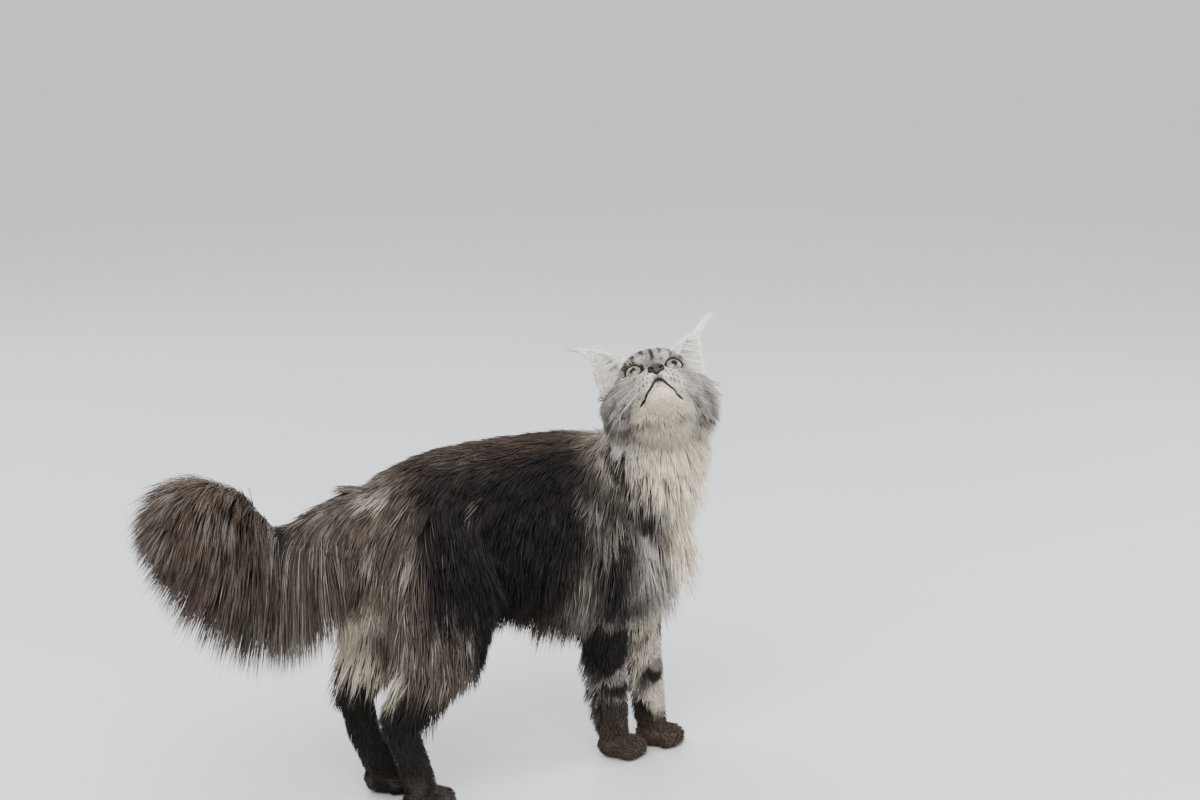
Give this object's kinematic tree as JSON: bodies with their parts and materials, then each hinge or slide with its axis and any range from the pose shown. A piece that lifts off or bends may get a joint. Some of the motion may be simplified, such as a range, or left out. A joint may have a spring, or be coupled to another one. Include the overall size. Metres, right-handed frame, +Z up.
{
  "type": "maine coon cat",
  "caption": "Long-haired maine coon cat, life size, standing still with its head turned back and up: a one-piece animal model with a ruff, feathered legs and a full plumed tail",
  "frame": {"origin": "under the middle of the whole cat's box, on the plane its soles stand on", "axes": "+X runs from the rump to the breast along the trunk, which is also the longest way of the box; +Y is the cat's left, the shortest way of the box; +Z is up"},
  "size_m": [0.648, 0.2642, 0.4508],
  "materials": {
    "torso": "fur, matte",
    "neck": "fur, matte",
    "head": "fur, matte",
    "eye_left": "glossy",
    "eye_right": "glossy",
    "ear_left": "fur, matte",
    "ear_right": "fur, matte",
    "foreleg_left_upper": "fur, matte",
    "foreleg_left_lower": "fur, matte",
    "foreleg_left_paw": "fur, matte",
    "foreleg_right_upper": "fur, matte",
    "foreleg_right_lower": "fur, matte",
    "foreleg_right_paw": "fur, matte",
    "hindleg_left_upper": "fur, matte",
    "hindleg_left_lower": "fur, matte",
    "hindleg_left_paw": "fur, matte",
    "hindleg_right_upper": "fur, matte",
    "hindleg_right_lower": "fur, matte",
    "hindleg_right_paw": "fur, matte",
    "tail_base": "fur, matte",
    "tail_middle": "fur, matte",
    "tail_end": "fur, matte"
  },
  "bodies": {
    "root": {"torso": "torso", "neck": "neck", "head": "head", "eye_left": "eye_left", "eye_right": "eye_right", "ear_left": "ear_left", "ear_right": "ear_right", "foreleg_left_upper": "foreleg_left_upper", "foreleg_left_lower": "foreleg_left_lower", "foreleg_left_paw": "foreleg_left_paw", "foreleg_right_upper": "foreleg_right_upper", "foreleg_right_lower": "foreleg_right_lower", "foreleg_right_paw": "foreleg_right_paw", "hindleg_left_upper": "hindleg_left_upper", "hindleg_left_lower": "hindleg_left_lower", "hindleg_left_paw": "hindleg_left_paw", "hindleg_right_upper": "hindleg_right_upper", "hindleg_right_lower": "hindleg_right_lower", "hindleg_right_paw": "hindleg_right_paw", "tail_base": "tail_base", "tail_middle": "tail_middle", "tail_end": "tail_end"}
  },
  "joints": []
}
